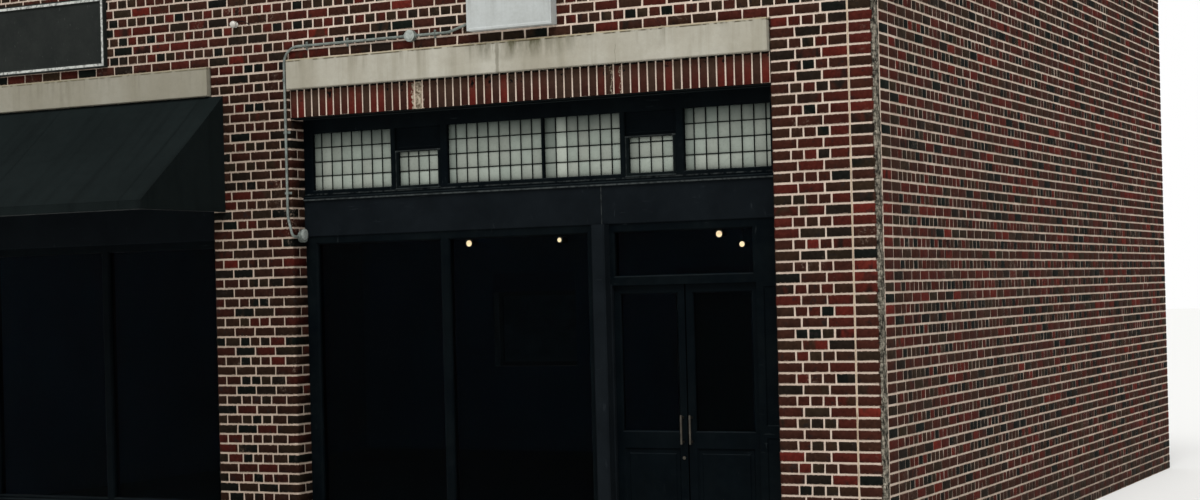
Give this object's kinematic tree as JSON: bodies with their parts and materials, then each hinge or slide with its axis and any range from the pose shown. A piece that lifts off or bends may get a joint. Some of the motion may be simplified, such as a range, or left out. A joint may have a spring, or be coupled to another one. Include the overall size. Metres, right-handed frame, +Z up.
{
  "type": "shop building",
  "caption": "Single-storey brick shop building with stone lintels, gridded transom windows, dark shopfronts, a pair of entrance doors that open and a lean-to awning over one bay.",
  "frame": {"origin": "on the ground under the middle of the plan", "axes": "+Z up, street front towards -Y, +X to the right as seen from the street"},
  "size_m": [11.0628, 10.8986, 5.7083],
  "materials": {
    "concrete": "bare concrete",
    "brick": "weathered face brick",
    "sealant": "aged sealant",
    "roofing": "mineral roofing felt",
    "stone": "cast stone, streaked",
    "angle_steel": "dark paint",
    "frame_paint": "dark green-black paint",
    "transom_glass": "translucent glass",
    "panel_paint": "dark paint",
    "fascia_paint": "charcoal paint",
    "clear_glass": "clear glass",
    "post_paint": "charcoal paint",
    "door_paint": "dark green-black paint",
    "hinge_metal": "dull steel",
    "handle_metal": "satin metal",
    "back_paint": "dark paint",
    "awning_cloth": "charcoal canvas",
    "awning_tube": "painted tube",
    "conduit_grey": "grey conduit",
    "sign_white": "plain pale sheet",
    "sign_dark": "plain dark board",
    "lamp_black": "black lamp body"
  },
  "bodies": {
    "building": {"floor_slab": "concrete", "pier_left": "brick", "pier_middle": "brick", "pier_right": "brick", "end_strip": "brick", "movement_joint_seal": "sealant", "front_wall_top": "brick", "party_wall_left": "brick", "party_wall_right": "brick", "back_wall": "brick", "roof_slab": "roofing", "copings": "stone", "stone_lintels": "stone", "soldier_courses": "brick", "lintel_angles": "angle_steel", "inner_lintels": "concrete", "right_transom_frame": "frame_paint", "left_transom_frame": "frame_paint", "transom_glass": "transom_glass", "hopper_sashes": "frame_paint", "hopper_glass": "transom_glass", "vent_panels": "panel_paint", "fascia_panels": "fascia_paint", "right_display_frame": "frame_paint", "left_display_frame": "frame_paint", "display_glass": "clear_glass", "stall_risers": "panel_paint", "entrance_posts": "post_paint", "entrance_jambs": "frame_paint", "entrance_heads": "frame_paint", "entrance_lights": "clear_glass", "entrance_steps": "stone", "door_hinges": "hinge_metal", "left_bay_doors": "door_paint", "left_bay_door_glass": "clear_glass", "back_lintels": "stone", "back_door": "back_paint", "back_window_frames": "back_paint", "back_window_glass": "clear_glass", "awning_cover": "awning_cloth", "awning_bars": "awning_tube", "awning_arms": "awning_tube", "conduit": "conduit_grey", "conduit_boxes": "conduit_grey", "sign_conduit": "conduit_grey", "sign_tray": "sign_white", "sign_board": "sign_dark", "lamp_rail": "lamp_black", "spot_lamps": "lamp_black"},
    "left_leaf": {"door_left": "door_paint", "door_left_glass": "clear_glass", "door_left_handle": "handle_metal"},
    "right_leaf": {"door_right": "door_paint", "door_right_glass": "clear_glass", "door_right_handle": "handle_metal"}
  },
  "joints": [
    {"name": "left_leaf_hinge", "type": "hinge", "parent": "building", "child": "left_leaf", "pos_m": [3.2364, -4.5928, 1.176], "axis": [0, 0, 1], "range_deg": [0, 95]},
    {"name": "right_leaf_hinge", "type": "hinge", "parent": "building", "child": "right_leaf", "pos_m": [4.4554, -4.5928, 1.176], "axis": [0, 0, -1], "range_deg": [0, 95]}
  ]
}
